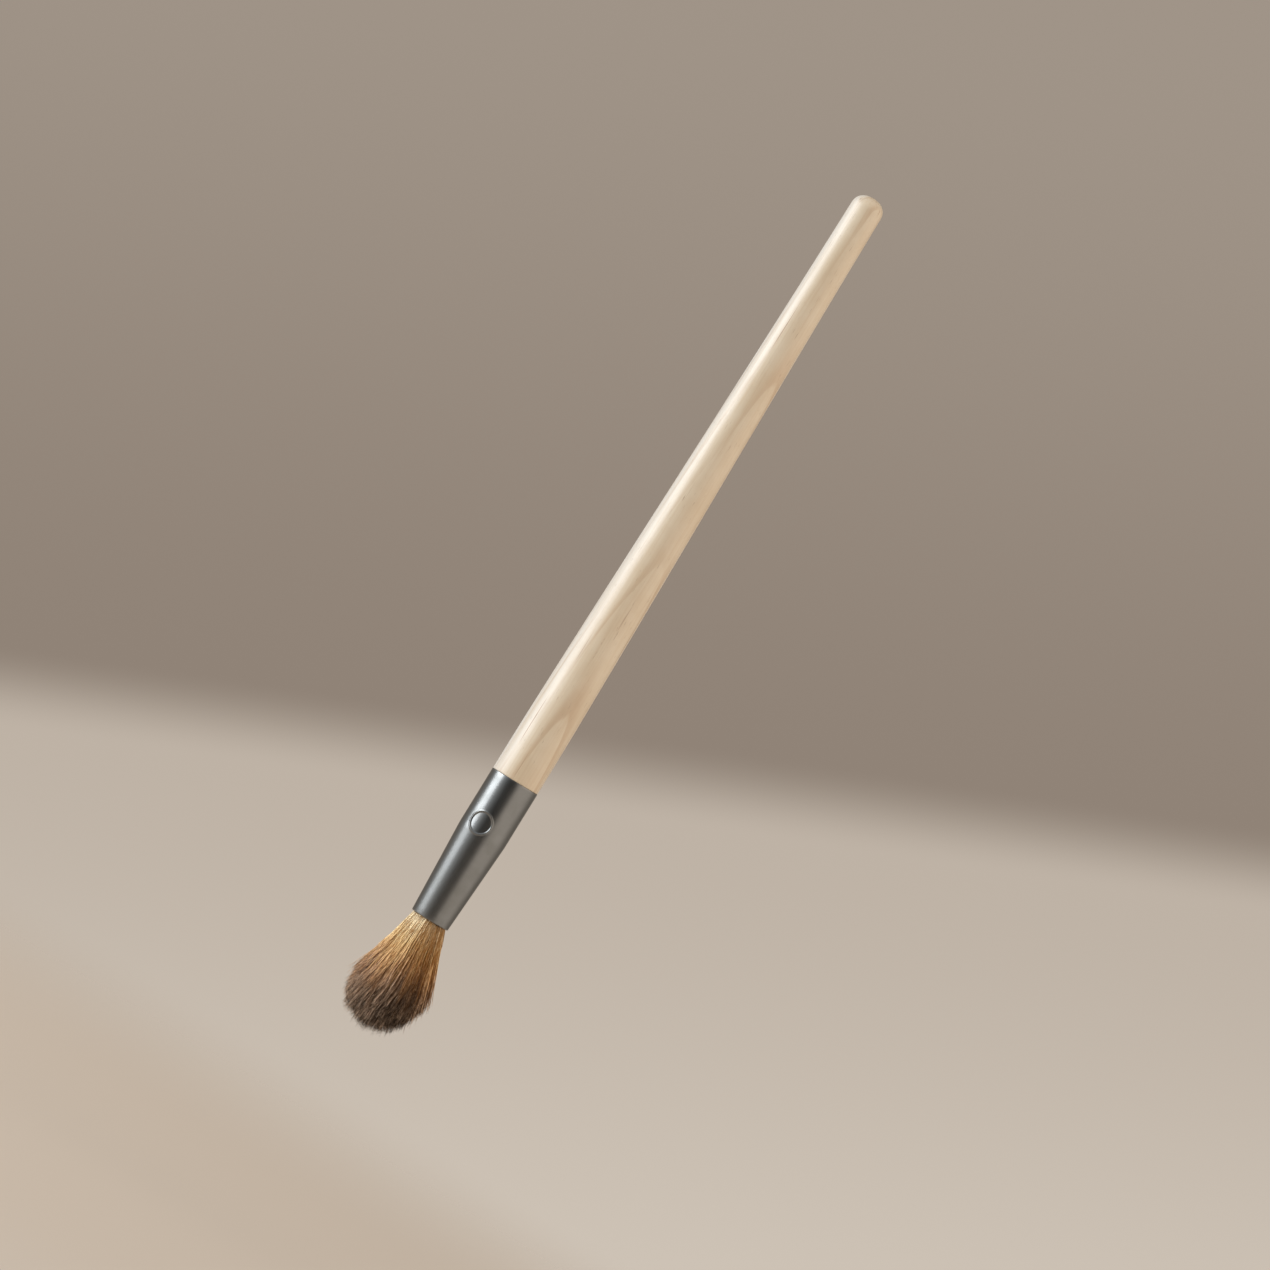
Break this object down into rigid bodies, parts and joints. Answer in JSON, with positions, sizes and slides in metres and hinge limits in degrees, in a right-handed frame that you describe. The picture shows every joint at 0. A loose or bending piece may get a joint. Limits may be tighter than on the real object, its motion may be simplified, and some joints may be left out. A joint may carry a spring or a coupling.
{
  "type": "eyeshadow brush",
  "caption": "Round eyeshadow blending brush: turned pale wood handle, tapered satin metal ferrule and a domed two-tone hair tuft that bends and springs back.",
  "frame": {"origin": "on the brush's axis, in the plane of the ferrule's rear rim, where the handle's shoulder seats", "axes": "+Z along the brush from the hair to the handle's end, -Y towards the round stamp on the ferrule, +X to the right seen from that side"},
  "size_m": [0.0138, 0.0138, 0.16],
  "materials": {
    "handle_wood": "satin clear lacquer on pale close-grained wood",
    "ferrule_metal": "satin gunmetal anodised",
    "tenon_glue": "cured wood glue",
    "knot_resin": "cured clear amber resin",
    "binding_thread": "waxed thread",
    "hair": "straight fibres, gold at the root and dark brown at the tip"
  },
  "bodies": {
    "brush": {"handle": "handle_wood", "ferrule": "ferrule_metal", "tenon_glue": "tenon_glue", "knot_resin": "knot_resin", "binding_thread": "binding_thread", "hair_roots": "hair"},
    "tuft": {"hair_tuft": "hair"}
  },
  "joints": [
    {"name": "tuft_bend", "type": "hinge", "parent": "brush", "child": "tuft", "pos_m": [0, 0, -0.0283], "axis": [0, 1, 0], "range_deg": [-35, 35], "stiffness_Nm_per_rad": 0.004}
  ]
}
